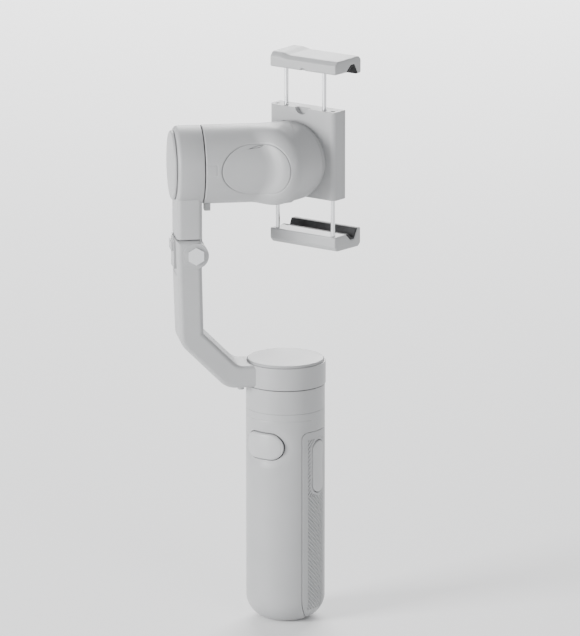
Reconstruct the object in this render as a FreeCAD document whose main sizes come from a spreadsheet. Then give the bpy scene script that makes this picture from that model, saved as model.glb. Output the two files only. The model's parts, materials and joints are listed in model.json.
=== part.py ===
"""Folding three-axis phone stabiliser, as a parametric FreeCAD document.

Frame: origin at the mouth of the tripod socket, +Z up the handle, the trigger on -Y,
the zoom rocker on +X and the thumb controls on +Y.  Millimetres.

The arm lies in a vertical plane through the handle's axis.  In that plane a point is
given by its reach from the axis, its offset across the plane and its height.
"""
import FreeCAD, Part
import os
import re

import Sketcher

Vector = FreeCAD.Vector
Rotation = FreeCAD.Rotation
UP = Vector(0, 0, 1)
ACROSS = Vector(1, 0, 0)
BACKWARD = Vector(0, 1, 0)
ARM_TURN = Rotation(UP, 225)
OUTWARD = ARM_TURN.multVec(ACROSS)
SIDEWAYS = ARM_TURN.multVec(BACKWARD)

SIZES = {
    # gaps
    "fit_gap": 0.05, "key_gap": 0.35, "beyond": 1.0,
    # handle
    "grip_radius": 18.6, "grip_wall": 1.8, "grip_top": 103.0, "grip_round": 11.5,
    "panel_skin": 1.0, "panel_low": 12.5, "panel_high": 93.5, "panel_angle": 56.0,
    "shell_reach": 20.0, "boss_radius": 7.0, "boss_height": 12.0,
    "socket_radius": 3.2, "socket_depth": 9.0, "insert_radius": 4.9, "insert_length": 10.0,
    "battery_radius": 9.2, "battery_low": 13.5, "battery_high": 78.5,
    "cell_round": 0.8, "tray_gap": 0.1, "tray_wall": 1.0, "tray_angle": 170.0, "lid_gap": 0.4,
    "shelf_half": 3.0, "shelf_near": 4.0, "post_half": 2.5, "post_near": 5.0, "post_far": 8.4,
    "board_face": 10.4, "board_thick": 1.0, "board_width": 16.0, "board_low": 30.0, "board_high": 98.0,
    "panel_screw_radius": 1.0, "panel_screw_start": 14.2, "panel_screw_length": 2.9,
    "panel_screw_side": 2.6, "panel_screw_low": 24.0, "panel_screw_high": 50.0,
    # handle controls
    "trigger_height": 87.0, "trigger_length": 21.0, "trigger_width": 12.5,
    "trigger_crown": 19.3, "trigger_root": 13.0, "key_start": 10.0, "key_end": 22.0,
    "switch_half": 3.0, "trigger_switch_far": 11.2, "trigger_switch_near": 8.45,
    "rocker_height": 76.2, "rocker_shift": 1.2, "rocker_length": 25.0, "rocker_width": 8.3,
    "rocker_crown": 19.2, "rocker_root": 14.2, "rocker_switch_near": 11.2, "rocker_switch_far": 12.6,
    "rocker_switch_half": 9.0, "rocker_switch_width": 5.0, "rocker_pivot": 15.0,
    "rocker_pin_radius": 0.6, "rocker_pin_half": 5.0,
    "stick_height": 88.0, "stick_pivot": 13.6, "stick_hole": 5.2, "stick_cap": 4.2,
    "stick_foot": 20.2, "stick_top": 22.0, "stick_stem": 1.6, "stick_root": 12.6, "stick_dish": 0.6,
    "cradle_half": 1.0, "cradle_bore": 2.3, "cradle_radius": 3.8, "stick_base_half": 6.0,
    "stick_base_thick": 0.9, "cradle_pin_radius": 0.5, "cradle_pin_end": 4.9,
    "stick_pin_radius": 0.45, "stick_pin_end": 2.2,
    "mode_height": 74.0, "mode_radius": 3.2, "mode_root": 15.5, "mode_top": 19.3, "mode_round": 0.5,
    "mode_switch_top": 14.1,
    "console_low": 65.0, "console_high": 98.0, "console_angle": 50.0,
    "console_skin": 1.15, "light_height": 68.0, "light_radius": 0.8, "light_pitch": 3.2,
    "light_start": 16.2, "light_length": 2.3,
    "usb_height": 86.0, "usb_width": 9.0, "usb_thick": 3.2, "usb_slack": 0.1, "usb_wall": 0.4,
    "usb_inner": 10.5, "usb_floor": 12.5,
    # motors: depths run from the housing's mouth inwards
    "motor_floor": 10.0, "motor_bore": 15.6, "rotor_radius": 14.8, "magnet_radius": 13.0,
    "rotor_start": 0.3, "rotor_disc": 1.8, "skirt_end": 9.2, "shaft_radius": 2.5,
    "bearing_bore": 2.55, "bearing_radius": 4.0, "boss_bore": 4.05, "boss_rim": 5.6,
    "boss_start": 2.2, "stator_start": 2.7, "stator_bore": 5.7, "stator_radius": 11.8,
    "hub_radius": 6.0, "hub_reach": 2.0, "hub_hole": 6.1,
    # pan housing and lower arm
    "pan_mouth": 114.2, "pan_base": 114.7, "pan_radius": 19.0, "pan_top": 125.2,
    "pan_floor": 1.5, "pan_cavity": 16.5, "cap_radius": 18.2, "cap_top": 126.4, "cap_gap": 0.2,
    "cap_edge": 0.5, "cap_thick": 1.2, "pan_board_low": 118.1, "pan_board_radius": 14.0,
    "pan_board_bore": 5.0, "screw_circle": 4.0, "hub_screw_radius": 1.3, "hub_screw_height": 1.4,
    "peg_reach": 21.6, "peg_side": 3.0, "peg_radius": 1.5, "peg_length": 2.2, "spigot_drop": 3.0,
    "spigot_bore": 15.4, "spigot_radius": 16.75,
    "arm_width": 22.0, "arm_edge": 2.2, "elbow_reach": 29.1, "heel_reach": 51.0,
    "heel_height": 136.6, "tip_outer": 52.6, "tip_inner": 40.8, "tip_height": 186.3,
    "inner_reach": 39.9, "inner_height": 141.5, "throat_reach": 23.6, "throat_height": 125.2,
    "elbow_round": 10.0, "heel_round": 9.0, "throat_round": 7.0,
    # fold hinge
    "hinge_reach": 43.6, "hinge_height": 179.1, "hinge_radius": 6.1, "cheek_width": 22.8,
    "fork_width": 10.4, "fork_back": 49.7, "fork_low": 171.5, "pin_radius": 2.5,
    "tongue_width": 9.8, "tongue_radius": 5.8, "hex_size": 4.2, "hex_thick": 1.0,
    # latch
    "latch_width": 10.6, "latch_low": 172.0, "latch_high": 185.8, "latch_seat": 51.8,
    "latch_back": 52.0, "latch_face": 53.3, "latch_travel": 3.0,
    "latch_gap": 0.35, "ridge_inset": 0.8, "ridge_low": 180.3, "ridge_high": 184.6, "ridge_face": 54.3,
    # upper arm and tilt housing
    "upper_low": 186.9, "upper_high": 212.0, "upper_inner": 40.3, "upper_outer": 52.2,
    "cap_round": 0.8, "eye_inner": 4.0, "eye_outer": 3.8, "eye_gap": 0.08,
    "axis_height": 220.4, "tilt_mouth": 40.0, "tilt_radius": 18.4, "tilt_back": 52.4,
    "end_radius": 16.2, "end_face": 54.1,
    # body between the tilt and roll motors
    "neck_end": 39.5, "neck_wall": 1.9, "neck_cavity": 15.0, "neck_cavity_start": 18.0,
    "roll_mouth": 4.4, "roll_radius": 18.6, "roll_front": 18.7, "roll_round": 8.0,
    "skin": 1.2, "inlay_start": 10.0, "inlay_end": 46.0, "inlay_length": 30.8, "inlay_width": 23.7,
    "inlay_shift": -7.2, "stop_near": 35.6, "stop_far": 38.4, "stop_half": 2.4, "stop_drop": 3.4,
    "sensor_half": 7.0, "sensor_back": 2.0, "sensor_thick": 1.2,
    "roll_bay_radius": 12.5, "roll_bay_start": 7.0, "roll_bay_end": 16.5,
    # clamp
    "clamp_side": 3.8, "clamp_height": 224.0, "clamp_width": 37.8, "clamp_tall": 42.0,
    "clamp_front": 7.5, "clamp_split": 14.3, "clamp_back": 16.2, "pad_back": 17.1,
    "clamp_corner": 2.5, "cover_screw_radius": 1.1, "cover_screw_length": 1.85,
    "cover_screw_side": 15.0, "cover_screw_rise": 19.2, "room_half": 8.4, "room_rise": 17.0,
    "room_front": 1.4, "notch_radius": 4.0, "notch_deep": 3.6, "pad_margin": 2.5, "pad_corner": 3.0,
    "spring_side": 4.0, "spring_depth": 11.6, "spring_half": 15.0, "spring_radius": 2.2,
    "spring_bore": 1.5, "ring_radius": 17.6, "ring_bore": 16.4, "ring_front": 5.4,
    "dial_radius": 12.6, "dial_front": 5.7, "disc_front": 6.9, "rib_width": 0.9,
    "rib_gap_angle": 85.0, "rib_pitch": 25.714286, "rib_sink": 0.3,
    "rod_radius": 1.0, "rod_bore": 1.08, "rod_depth": 10.4, "upper_pitch": 11.0,
    "lower_pitch": 16.1, "rod_sink": 3.0, "rod_length": 51.0,
    "jaw_width": 38.0, "jaw_front": 8.2, "jaw_rear": 28.4, "grip_half": 38.7, "jaw_thick": 7.2,
    "groove_near": 17.0, "groove_mid": 20.6, "groove_far": 23.4, "lip_near": 26.2,
    "groove_deep": 3.0, "lip_drop": 1.9, "pad_skin": 1.1, "jaw_gap": 0.1, "jaw_slope": 1.6,
    "pad_short": 0.4, "rod_socket": 6.0,
}

doc = FreeCAD.newDocument("stabiliser")
sheet = doc.addObject("Spreadsheet::Sheet", "Sizes")
for row, (alias, value) in enumerate(SIZES.items(), start=1):
    sheet.set("A%d" % row, alias)
    sheet.set("B%d" % row, str(value))
    sheet.setAlias("B%d" % row, alias)
doc.recompute()
gauge = doc.addObject("Part::Vertex", "Gauge")
NODES = []


# ---------------------------------------------------------------- small tools

def formula(text):
    """Point each size's alias in an expression at the sheet."""
    return re.sub(r"[a-z_]+", lambda word: ("Sizes." if word[0] in SIZES else "") + word[0], str(text))


def number(text):
    """Work out an expression now, for the things that take no expression."""
    gauge.setExpression("X", formula(text))
    gauge.recompute()
    return gauge.X.Value


def bind(thing, **formulas):
    for name, text in formulas.items():
        thing.setExpression(name.replace("__", "."), formula(text))


def place(thing, spot, rotation=Rotation()):
    thing.Placement = FreeCAD.Placement(Vector(0, 0, 0), rotation)
    bind(thing, Placement__Base__x=spot[0], Placement__Base__y=spot[1], Placement__Base__z=spot[2])


def in_arm(reach, offset, height):
    """A point of the arm's plane as the expressions of its X, Y and Z."""
    return ("(%s) * cos(225 deg) - (%s) * sin(225 deg)" % (reach, offset),
            "(%s) * sin(225 deg) + (%s) * cos(225 deg)" % (reach, offset), height)


def node(label, thing):
    """Keep a finished sub-part under its own name."""
    thing.Label = label
    NODES.append(thing)
    return thing


def sketch(body, role, points):
    """A closed outline on one of the body's origin planes, every corner set from the sheet."""
    plane = [item for item in body.Origin.OriginFeatures if item.Role == role][0]
    outline = body.newObject("Sketcher::SketchObject", body.Name + "Outline")
    outline.AttachmentSupport = (plane, [""])
    outline.MapMode = "FlatFace"
    spots = [Vector(number(x), number(y), 0) for x, y in points]
    count = len(points)
    for index in range(count):
        outline.addGeometry(Part.LineSegment(spots[index], spots[(index + 1) % count]), False)
    for index, (x, y) in enumerate(points):
        outline.addConstraint(Sketcher.Constraint("Coincident", index, 2, (index + 1) % count, 1))
        for kind, text, value in (("DistanceX", x, spots[index].x), ("DistanceY", y, spots[index].y)):
            which = outline.addConstraint(Sketcher.Constraint(kind, -1, 1, index, 1, value))
            outline.setExpression("Constraints[%d]" % which, formula(text))
    return outline


def turned(points, spot=("0", "0", "0"), direction=UP, angle="360", spin=0):
    """Revolve an outline of (distance along the axis, radius) points about that axis."""
    body = doc.addObject("PartDesign::Body", "Turned")
    outline = sketch(body, "XZ_Plane", points)
    feature = body.newObject("PartDesign::Revolution", body.Name + "Revolution")
    feature.Profile = outline
    feature.ReferenceAxis = (outline, ["H_Axis"])
    feature.Midplane = True
    bind(feature, Angle=angle)
    place(body, spot, Rotation(direction, spin) * Rotation(ACROSS, direction))
    return body


def slab(points, width, role="XZ_Plane", spot=("0", "0", "0"), rotation=ARM_TURN, rounds=()):
    """Pad an outline both ways from its plane, then round the corners named in rounds."""
    body = doc.addObject("PartDesign::Body", "Slab")
    outline = sketch(body, role, points)
    pad = body.newObject("PartDesign::Pad", body.Name + "Pad")
    pad.Profile = outline
    pad.Midplane = True
    bind(pad, Length=width)
    doc.recompute()
    along = 1 if role == "XZ_Plane" else 0
    for radius, corners in rounds:
        chosen = []
        for corner in corners:
            x, y = [number(text) for text in points[corner]]
            for index, edge in enumerate(body.Shape.Edges, start=1):
                middle = edge.valueAt((edge.FirstParameter + edge.LastParameter) / 2)
                flat = (middle.x, middle.z) if along == 1 else (middle.y, middle.z)
                if abs(middle[along]) < 0.01 and abs(flat[0] - x) + abs(flat[1] - y) < 0.01:
                    chosen.append("Edge%d" % index)
        dress(body, radius, chosen)
    place(body, spot, rotation)
    return body


def dress(body, radius, edges):
    base = body.Tip
    feature = body.newObject("PartDesign::Fillet", body.Name + "Round")
    feature.Base = (base, edges)
    bind(feature, Radius=radius)
    body.Tip = feature
    doc.recompute()


def soften(body, radius, reach_limit=None):
    """Round the long edges of a slab, those lying on its two outer faces."""
    outer = max(vertex.Y for vertex in body.Tip.Shape.Vertexes)
    edges = []
    for index, edge in enumerate(body.Tip.Shape.Edges, start=1):
        on_face = all(abs(abs(vertex.Y) - outer) < 0.01 for vertex in edge.Vertexes)
        middle = edge.valueAt((edge.FirstParameter + edge.LastParameter) / 2)
        kept = reach_limit is None or reach_limit(middle)
        if on_face and abs(abs(middle.y) - outer) < 0.01 and kept:
            edges.append("Edge%d" % index)
    dress(body, radius, edges)


def block(low, high):
    """A box between two corners, each a triple of expressions."""
    box = doc.addObject("Part::Box", "Block")
    for name, start, end in zip(("Length", "Width", "Height"), low, high):
        bind(box, **{name: "(%s) - (%s)" % (end, start)})
    place(box, low)
    return box


def arm_block(low, high):
    """A box whose corners are given as reach, offset and height in the arm's plane."""
    box = block(low, high)
    place(box, in_arm(*low), ARM_TURN)
    return box


def rod(spot, direction, radius, length):
    cylinder = doc.addObject("Part::Cylinder", "Rod")
    bind(cylinder, Radius=radius, Height=length)
    place(cylinder, spot, Rotation(UP, direction))
    return cylinder


def join(*parts):
    whole = doc.addObject("Part::MultiFuse", "Join")
    whole.Shapes = list(parts)
    return whole


def cut(base, *tools):
    rest = doc.addObject("Part::Cut", "Cut")
    rest.Base = base
    rest.Tool = tools[0] if len(tools) == 1 else join(*tools)
    return rest


def common(first, second):
    both = doc.addObject("Part::Common", "Common")
    both.Base, both.Tool = first, second
    return both


def group(parts):
    """Identical loose pieces kept as one node of separate solids."""
    compound = doc.addObject("Part::Compound", "Group")
    compound.Links = list(parts)
    return compound


def rounded(solid, radius, choose):
    """Round the edges of a plain solid that a test picks."""
    doc.recompute()
    fillet = doc.addObject("Part::Fillet", "Rounded")
    fillet.Base = solid
    size = number(radius)
    fillet.Edges = [(index, size, size) for index, edge in enumerate(solid.Shape.Edges, start=1)
                    if choose(edge.CenterOfMass)]
    return fillet


def key_prism(centre, length, width, start, end, direction, upright=False):
    """A round-ended bar along a horizontal direction: a box between two cylinders.

    centre is the bar's middle as a triple, measured on the axis; start and end are
    distances along the direction.
    """
    side = UP if upright else direction.cross(UP)
    half = "((%s) - (%s)) / 2" % (length, width)
    across = "(%s) / 2" % width

    def spot(along, shift, rise=0):
        return tuple("(%s) + (%s) * %.9f + (%s) * %.9f + (%s) * %.9f" % (
            centre[axis], along, direction[axis], shift, side[axis], rise, 1 if axis == 2 else 0)
            for axis in range(3))

    depth = "(%s) - (%s)" % (end, start)
    ends = [rod(spot(start, "%d * %s" % (sign, half)), direction, across, depth) for sign in (-1, 1)]
    bar = doc.addObject("Part::Box", "Bar")
    bind(bar, Length=depth, Width=width if upright else "2 * %s" % half,
         Height="2 * %s" % half if upright else width)
    turn = Rotation(ACROSS, direction)
    left = turn.multVec(BACKWARD)
    shift = [-left[axis] * (number(across) if upright else number(half)) for axis in range(3)]
    drop = "-%s" % (half if upright else across)
    corner = spot(start, "0", drop)
    place(bar, tuple("(%s) + (%.9f)" % (corner[axis], shift[axis]) for axis in range(3)), turn)
    return join(bar, *ends)


# ---------------------------------------------------------------- handle

def build_handle():
    barrel = rounded(rod(("0", "0", "0"), UP, "grip_radius", "grip_top"), "grip_round",
                     lambda centre: abs(centre.z) < 0.01)
    hollow = rounded(rod(("0", "0", "grip_wall"), UP, "grip_radius - grip_wall", "grip_top"),
                     "grip_round - grip_wall", lambda centre: centre.z < 5)
    boss = rod(("0", "0", "0"), UP, "boss_radius", "boss_height")
    seat = rod(("0", "0", "-beyond"), UP, "insert_radius + fit_gap", "boss_height + 2 * beyond")
    trigger_hole = key_prism(("0", "0", "trigger_height"), "trigger_length + 2 * key_gap",
                             "trigger_width + 2 * key_gap", "key_start", "key_end", -BACKWARD)
    rocker_hole = key_prism(("0", "rocker_shift", "rocker_height"), "rocker_length + 2 * key_gap",
                            "rocker_width + 2 * key_gap", "key_start", "key_end", ACROSS, upright=True)
    usb_hole = block(
        ("-shell_reach", "-usb_width / 2 - usb_slack", "usb_height - usb_thick / 2 - usb_slack"),
        ("-key_start", "usb_width / 2 + usb_slack", "usb_height + usb_thick / 2 + usb_slack"))
    recesses = [side_panel("panel_angle", "fit_gap", spin) for spin in (180, 0)]
    console_seat = side_panel("console_angle", "fit_gap", 270, "console_low", "console_high",
                              "console_skin")
    stick_hole = rod(("0", "key_start", "stick_height"), BACKWARD, "stick_hole", "key_end - key_start")
    mode_hole = rod(("0", "key_start", "mode_height"), BACKWARD, "mode_radius + key_gap",
                    "key_end - key_start")
    lights = [rod(("light_pitch * %d" % side, "key_start", "light_height"), BACKWARD,
                  "light_radius + fit_gap", "key_end - key_start") for side in (-1, 0, 1)]
    screw_holes = panel_screws("panel_screw_radius + fit_gap", "panel_screw_length + beyond")
    sleeve = cut(join(cut(barrel, hollow), boss), seat, trigger_hole, rocker_hole, usb_hole,
                 console_seat, stick_hole, mode_hole, *(recesses + lights + screw_holes))
    for label, sign in (("handle_front_shell", -1), ("handle_rear_shell", 1)):
        low = ("-shell_reach", "%d * shell_reach" % min(0, sign), "-beyond")
        high = ("shell_reach", "%d * shell_reach" % max(0, sign), "grip_top + beyond")
        node(label, common(sleeve, block(low, high)))

    right = cut(side_panel("panel_angle", "0", 180), rocker_hole)
    left = cut(side_panel("panel_angle", "0", 0), usb_hole)
    node("grip_panel_right", right)
    node("grip_panel_left", left)
    console = side_panel("console_angle", "0", 270, "console_low", "console_high", "console_skin")
    node("control_panel", cut(console, stick_hole, mode_hole, *lights))
    node("indicator_lights", group(
        rod(("light_pitch * %d" % side, "light_start", "light_height"), BACKWARD, "light_radius",
            "light_length") for side in (-1, 0, 1)))
    node("panel_screws", group(panel_screws("panel_screw_radius", "panel_screw_length")))


def panel_screws(radius, length):
    """The eight screws, or their holes, that hold the grip panels from inside."""
    return [rod(("%d * panel_screw_start" % side, "%d * panel_screw_side" % half, level),
                ACROSS * side, radius, length)
            for side in (-1, 1) for half in (-1, 1) for level in ("panel_screw_low", "panel_screw_high")]


def side_panel(angle, slack, spin, low="panel_low", high="panel_high", skin="panel_skin"):
    """A curved plate let into the grip's surface, centred on -X before it is spun."""
    inner = "grip_radius - (%s) - (%s)" % (skin, slack)
    outer = "grip_radius + 2 * (%s)" % slack
    start, end = "(%s) - (%s)" % (low, slack), "(%s) + (%s)" % (high, slack)
    return turned([(start, inner), (end, inner), (end, outer), (start, outer)],
                  angle="%s + 6 * (%s)" % (angle, slack), spin=spin)


def build_handle_insides():
    insert = rod(("0", "0", "0"), UP, "insert_radius", "insert_length")
    socket = rod(("0", "0", "-beyond"), UP, "socket_radius", "socket_depth + beyond")
    node("tripod_insert", cut(insert, socket))
    node("battery_cell", rounded(
        rod(("0", "0", "battery_low"), UP, "battery_radius", "battery_high - battery_low"), "cell_round",
        lambda centre: True))
    near, far = "battery_radius + tray_gap", "battery_radius + tray_gap + tray_wall"
    lid_low, lid_high = "battery_high + lid_gap", "battery_high + lid_gap + tray_wall"
    tray = turned([("battery_low", near), (lid_high, near), (lid_high, far), ("battery_low", far)],
                  angle="tray_angle", spin=90)
    lid = rod(("0", "0", lid_low), UP, "battery_radius - tray_gap", "tray_wall")
    shelf = block(("-shelf_half", "-(%s) + lid_gap" % far, lid_low),
                  ("shelf_half", "-shelf_near", lid_high))
    post = block(("-post_half", "-post_far", lid_high),
                 ("post_half", "-post_near", "trigger_height + switch_half"))
    node("inner_frame", join(tray, lid, shelf, post))
    node("trigger_switch", block(
        ("-switch_half", "-trigger_switch_far", "trigger_height - switch_half"),
        ("switch_half", "-trigger_switch_near", "trigger_height + switch_half")))
    node("main_board", block(("-board_width / 2", "board_face - board_thick", "board_low"),
                             ("board_width / 2", "board_face", "board_high")))
    node("stick_base", block(
        ("-stick_base_half", "board_face + fit_gap", "stick_height - stick_base_half"),
        ("stick_base_half", "board_face + stick_base_thick", "stick_height + stick_base_half")))
    node("mode_switch", block(("-switch_half", "board_face + fit_gap", "mode_height - switch_half"),
                              ("switch_half", "mode_switch_top", "mode_height + switch_half")))
    node("rocker_switch", block(
        ("rocker_switch_near", "rocker_shift - rocker_switch_width / 2",
         "rocker_height - rocker_switch_half"),
        ("rocker_switch_far", "rocker_shift + rocker_switch_width / 2",
         "rocker_height + rocker_switch_half")))
    shell = block(("-grip_radius + usb_slack", "-usb_width / 2", "usb_height - usb_thick / 2"),
                  ("-usb_inner", "usb_width / 2", "usb_height + usb_thick / 2"))
    mouth = block(("-shell_reach", "-usb_width / 2 + usb_wall", "usb_height - usb_thick / 2 + usb_wall"),
                  ("-usb_floor", "usb_width / 2 - usb_wall", "usb_height + usb_thick / 2 - usb_wall"))
    node("usb_socket", cut(shell, mouth))


def build_controls():
    bar = key_prism(("0", "0", "trigger_height"), "trigger_length", "trigger_width",
                    "trigger_root", "key_end", -BACKWARD)
    node("trigger_button", common(bar, rod(("0", "0", "0"), UP, "trigger_crown", "grip_top")))
    bar = key_prism(("0", "rocker_shift", "rocker_height"), "rocker_length", "rocker_width",
                    "rocker_root", "key_end", ACROSS, upright=True)
    pin_start = ("rocker_pivot", "-rocker_pin_half", "rocker_height")
    bore = rod(pin_start, BACKWARD, "rocker_pin_radius + fit_gap", "2 * rocker_pin_half")
    node("zoom_rocker", cut(common(bar, rod(("0", "0", "0"), UP, "rocker_crown", "grip_top")), bore))
    node("rocker_pin", rod(pin_start, BACKWARD, "rocker_pin_radius", "2 * rocker_pin_half"))
    ring = [("-cradle_half", "cradle_bore"), ("cradle_half", "cradle_bore"),
            ("cradle_half", "cradle_radius"), ("-cradle_half", "cradle_radius")]
    pivot = ("0", "stick_pivot", "stick_height")
    trunnions = [rod(("%d * (cradle_radius - 0.1)" % side, "stick_pivot", "stick_height"), ACROSS * side,
                     "cradle_pin_radius", "cradle_pin_end - cradle_radius + 0.1") for side in (-1, 1)]
    node("stick_cradle", join(turned(ring, pivot, BACKWARD), *trunnions))
    cap = [("stick_root", "0"), ("stick_top - stick_dish", "0"),
           ("stick_top", "stick_cap - 3 * stick_dish"),
           ("stick_top - stick_dish / 3", "stick_cap - stick_dish"),
           ("stick_top - 1.5 * stick_dish", "stick_cap"), ("stick_foot", "stick_cap"),
           ("stick_foot", "stick_stem"), ("stick_root", "stick_stem")]
    pins = rod(("0", "stick_pivot", "stick_height - stick_pin_end"), UP, "stick_pin_radius",
               "2 * stick_pin_end")
    node("stick_cap", join(turned(cap, ("0", "0", "stick_height"), BACKWARD), pins))
    node("mode_button", rounded(
        rod(("0", "mode_root", "mode_height"), BACKWARD, "mode_radius", "mode_top - mode_root"),
        "mode_round", lambda centre: centre.y > number("mode_top") - 0.1))


# ---------------------------------------------------------------- motors

def build_motor(name, mouth, direction, hub_reach):
    """Outrunner motor: stator and bearing stay in the housing, the bell turns on the shaft."""
    stator = [("stator_start", "stator_bore"), ("skirt_end", "stator_bore"),
              ("skirt_end", "stator_radius"), ("stator_start", "stator_radius")]
    node(name + "_stator", turned(stator, mouth, direction))
    bearing = [("stator_start", "bearing_bore"), ("skirt_end", "bearing_bore"),
               ("skirt_end", "bearing_radius"), ("stator_start", "bearing_radius")]
    node(name + "_bearing", turned(bearing, mouth, direction))
    rotor = [("-(%s)" % hub_reach, "0"), ("skirt_end + 0.4", "0"), ("skirt_end + 0.4", "shaft_radius"),
             ("rotor_disc", "shaft_radius"), ("rotor_disc", "magnet_radius"), ("skirt_end", "magnet_radius"),
             ("skirt_end", "rotor_radius"), ("rotor_start", "rotor_radius"), ("rotor_start", "hub_radius"),
             ("-(%s)" % hub_reach, "hub_radius")]
    node(name + "_rotor", turned(rotor, mouth, direction))


# ---------------------------------------------------------------- pan housing and lower arm

def build_pan():
    collar = [("grip_top - spigot_drop", "spigot_bore"), ("grip_top - spigot_drop", "spigot_radius"),
              ("grip_top", "spigot_radius"),
              ("grip_top", "grip_radius"), ("pan_mouth", "grip_radius"), ("pan_mouth", "motor_bore"),
              ("pan_mouth - motor_floor", "motor_bore"), ("pan_mouth - motor_floor", "boss_rim"),
              ("pan_mouth - boss_start", "boss_rim"), ("pan_mouth - boss_start", "boss_bore"),
              ("grip_top", "boss_bore"), ("grip_top", "spigot_bore")]
    node("pan_collar", turned(collar))
    build_motor("pan_motor", ("0", "0", "pan_mouth"), -UP, "hub_reach")
    node("pan_cap", turned([("pan_top - cap_thick", "0"), ("pan_top - cap_thick", "pan_cavity - cap_gap"),
                            ("pan_top + fit_gap", "pan_cavity - cap_gap"),
                            ("pan_top + fit_gap", "cap_radius"), ("cap_top - cap_edge", "cap_radius"),
                            ("cap_top", "cap_radius - cap_edge"), ("cap_top", "0")]))
    node("pan_board", cut(rod(("0", "0", "pan_board_low"), UP, "pan_board_radius", "board_thick"),
                          rod(("0", "0", "pan_base"), UP, "pan_board_bore", "pan_top - pan_base")))
    node("hub_screws", group(
        rod(("screw_circle * cos(%d deg)" % angle, "screw_circle * sin(%d deg)" % angle,
             "pan_base + pan_floor + fit_gap"), UP, "hub_screw_radius", "hub_screw_height")
        for angle in range(0, 360, 90)))
    node("pan_stop_peg", rod(in_arm("peg_reach", "peg_side", "pan_base - peg_length"), UP,
                             "peg_radius", "peg_length"))


def build_lower_arm():
    points = [("0", "pan_base"), ("elbow_reach", "pan_base"), ("heel_reach", "heel_height"),
              ("tip_outer", "tip_height"), ("tip_inner", "tip_height"), ("inner_reach", "inner_height"),
              ("throat_reach", "throat_height"), ("0", "throat_height")]
    bar = slab(points, "arm_width", rounds=(("elbow_round", (1,)), ("heel_round", (2,)),
                                            ("throat_round", (6,)), ("1.2", (4,))))
    soften(bar, "arm_edge", lambda middle: middle.x > 20 and middle.z < number("tip_height") - 0.1)
    drum = rod(("0", "0", "pan_base"), UP, "pan_radius", "pan_top - pan_base")
    cheeks = rod(in_arm("hinge_reach", "-cheek_width / 2", "hinge_height"), SIDEWAYS,
                 "hinge_radius", "cheek_width")
    cavity = rod(("0", "0", "pan_base + pan_floor"), UP, "pan_cavity", "pan_top - pan_base")
    hub_hole = rod(("0", "0", "pan_base - 1"), UP, "hub_hole", "pan_floor + 2")
    fork = arm_block(("hinge_reach - 2 * hinge_radius", "-fork_width / 2", "fork_low"),
                     ("fork_back", "fork_width / 2", "tip_height + beyond"))
    bore = rod(in_arm("hinge_reach", "-cheek_width", "hinge_height"), SIDEWAYS,
               "pin_radius + fit_gap", "2 * cheek_width")
    seat = arm_block(("latch_seat", "-latch_width / 2 - latch_gap", "latch_low - latch_travel - latch_gap"),
                     ("tip_outer + beyond", "latch_width / 2 + latch_gap", "tip_height + beyond"))
    node("lower_arm", cut(join(bar, drum, cheeks), cavity, hub_hole, fork, bore, seat))


def build_hinge():
    pin = rod(in_arm("hinge_reach", "-cheek_width / 2 - 0.1", "hinge_height"), SIDEWAYS,
              "pin_radius", "cheek_width + 0.2")
    heads = []
    for start in ("-cheek_width / 2 - fit_gap - hex_thick", "cheek_width / 2 + fit_gap"):
        head = doc.addObject("Part::Prism", "Head")
        head.Polygon = 6
        bind(head, Circumradius="hex_size", Height="hex_thick")
        place(head, in_arm("hinge_reach", start, "hinge_height"),
              Rotation(OUTWARD * -1, UP, SIDEWAYS, "ZXY") * Rotation(UP, 90))
        heads.append(head)
    node("hinge_pin", join(pin, *heads))
    plate = arm_block(("latch_back", "-latch_width / 2", "latch_low"),
                      ("latch_face", "latch_width / 2", "latch_high"))
    ridge = arm_block(("latch_back", "-latch_width / 2 + ridge_inset", "ridge_low"),
                      ("ridge_face", "latch_width / 2 - ridge_inset", "ridge_high"))
    node("arm_latch", join(plate, ridge))


# ---------------------------------------------------------------- upper arm, tilt motor

def build_upper_arm():
    inner, outer = "upper_inner", "upper_outer"
    bar = slab([(inner, "upper_low"), (outer, "upper_low"), (outer, "upper_high"), (inner, "upper_high")],
               "arm_width")
    soften(bar, "arm_edge", lambda middle: number("upper_low") + 1 < middle.z < number("upper_high") - 1)
    axis = ("0", "0", "axis_height")
    hollow = turned([("tilt_mouth - beyond", "0"), ("tilt_mouth + motor_floor", "0"),
                     ("tilt_mouth + motor_floor", "motor_bore"), ("tilt_mouth - beyond", "motor_bore")],
                    axis, OUTWARD)
    floor = "tilt_mouth + motor_floor"
    cup = turned([("tilt_mouth", "motor_bore"), ("tilt_mouth", "tilt_radius"), ("tilt_back", "tilt_radius"),
                  ("tilt_back", "boss_bore"), ("tilt_mouth + boss_start", "boss_bore"),
                  ("tilt_mouth + boss_start", "boss_rim"), (floor, "boss_rim"), (floor, "motor_bore")],
                 axis, OUTWARD)
    eye = rod(in_arm("hinge_reach", "-tongue_width / 2", "hinge_height"), SIDEWAYS,
              "tongue_radius", "tongue_width")
    neck = arm_block(("hinge_reach - eye_inner", "-tongue_width / 2", "hinge_height"),
                     ("hinge_reach + eye_outer", "tongue_width / 2", "upper_low + beyond"))
    bore = rod(in_arm("hinge_reach", "-tongue_width", "hinge_height"), SIDEWAYS,
               "pin_radius + eye_gap", "2 * tongue_width")
    node("upper_arm", cut(join(cut(bar, hollow), cup, eye, neck), bore))
    node("tilt_end_cap", turned([("tilt_back + fit_gap", "0"), ("tilt_back + fit_gap", "end_radius"),
                                 ("end_face - cap_round", "end_radius"),
                                 ("end_face", "end_radius - cap_round"),
                                 ("end_face", "0")], axis, OUTWARD))
    build_motor("tilt_motor", in_arm("tilt_mouth", "0", "axis_height"), OUTWARD, "hub_reach")


# ---------------------------------------------------------------- body between tilt and roll

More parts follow.
